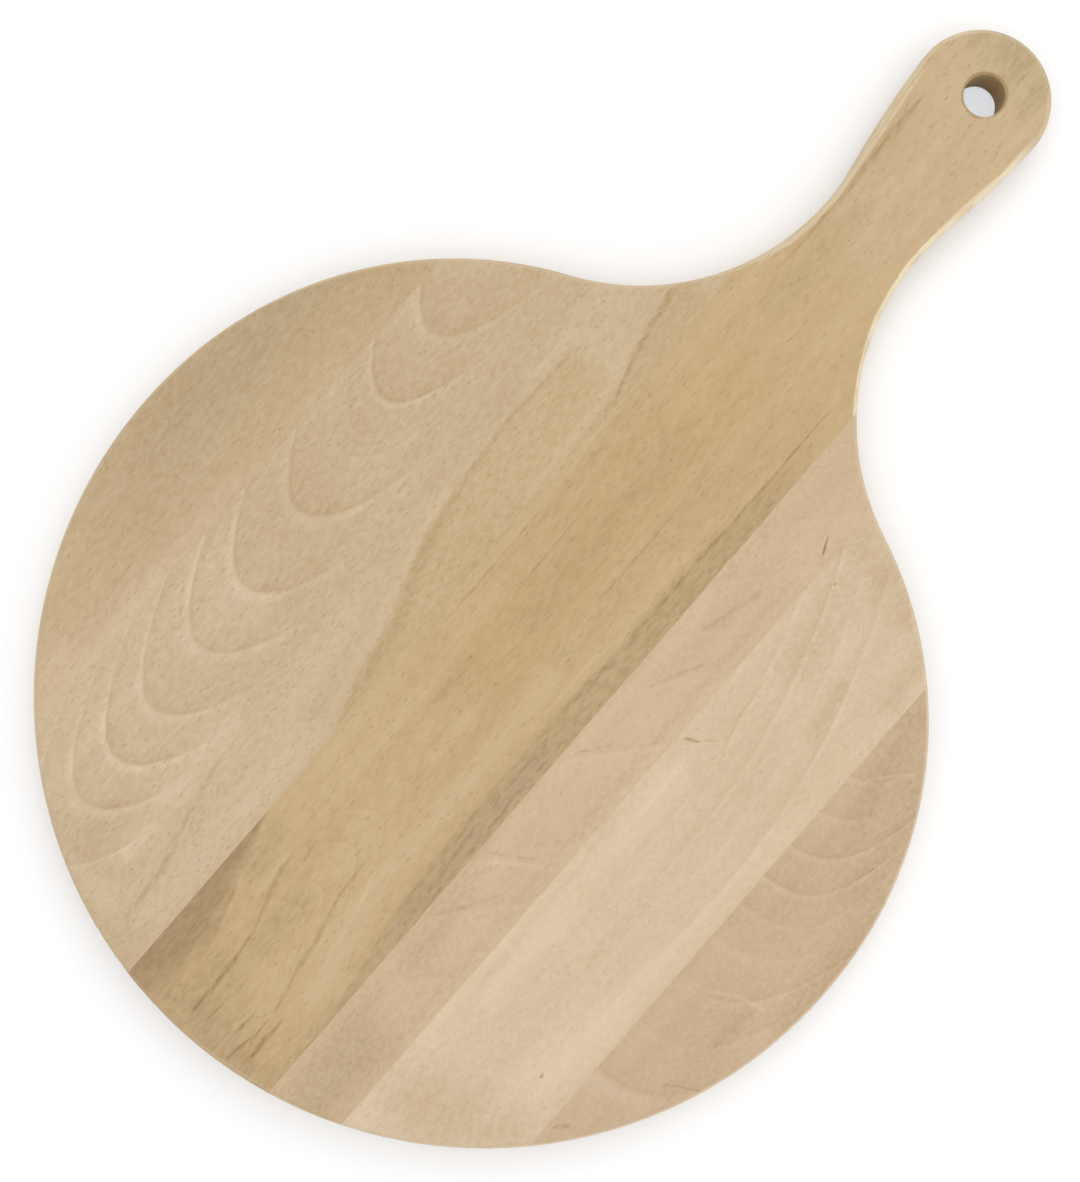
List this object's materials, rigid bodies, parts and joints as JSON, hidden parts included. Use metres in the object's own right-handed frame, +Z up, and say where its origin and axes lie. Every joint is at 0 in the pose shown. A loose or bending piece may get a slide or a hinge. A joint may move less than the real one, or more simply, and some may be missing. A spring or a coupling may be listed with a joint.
{
  "type": "round serving board with handle",
  "caption": "Round flat wooden serving board with a waisted handle, a hanging hole and a rounded edge, edge glued from staves of beech.",
  "frame": {"origin": "centre of the round blade on the underside, which is the face the board rests on", "axes": "+X from the blade's centre along the handle, +Z up out of the top face, +Y to the left of the handle seen from above"},
  "size_m": [0.4315, 0.3, 0.015],
  "materials": {
    "beech_left_rim": "sanded, lightly oiled",
    "beech_left_wide": "sanded, lightly oiled",
    "beech_handle": "sanded, lightly oiled",
    "beech_narrow": "sanded, lightly oiled",
    "beech_right_pale": "sanded, lightly oiled",
    "beech_right_rim": "sanded, lightly oiled",
    "glue": "cured, sanded flush"
  },
  "bodies": {
    "root": {"left_rim_stave": "beech_left_rim", "left_wide_stave": "beech_left_wide", "handle_stave": "beech_handle", "narrow_stave": "beech_narrow", "right_pale_stave": "beech_right_pale", "right_rim_stave": "beech_right_rim", "glue_line_1": "glue", "glue_line_2": "glue", "glue_line_3": "glue", "glue_line_4": "glue", "glue_line_5": "glue"}
  },
  "joints": []
}
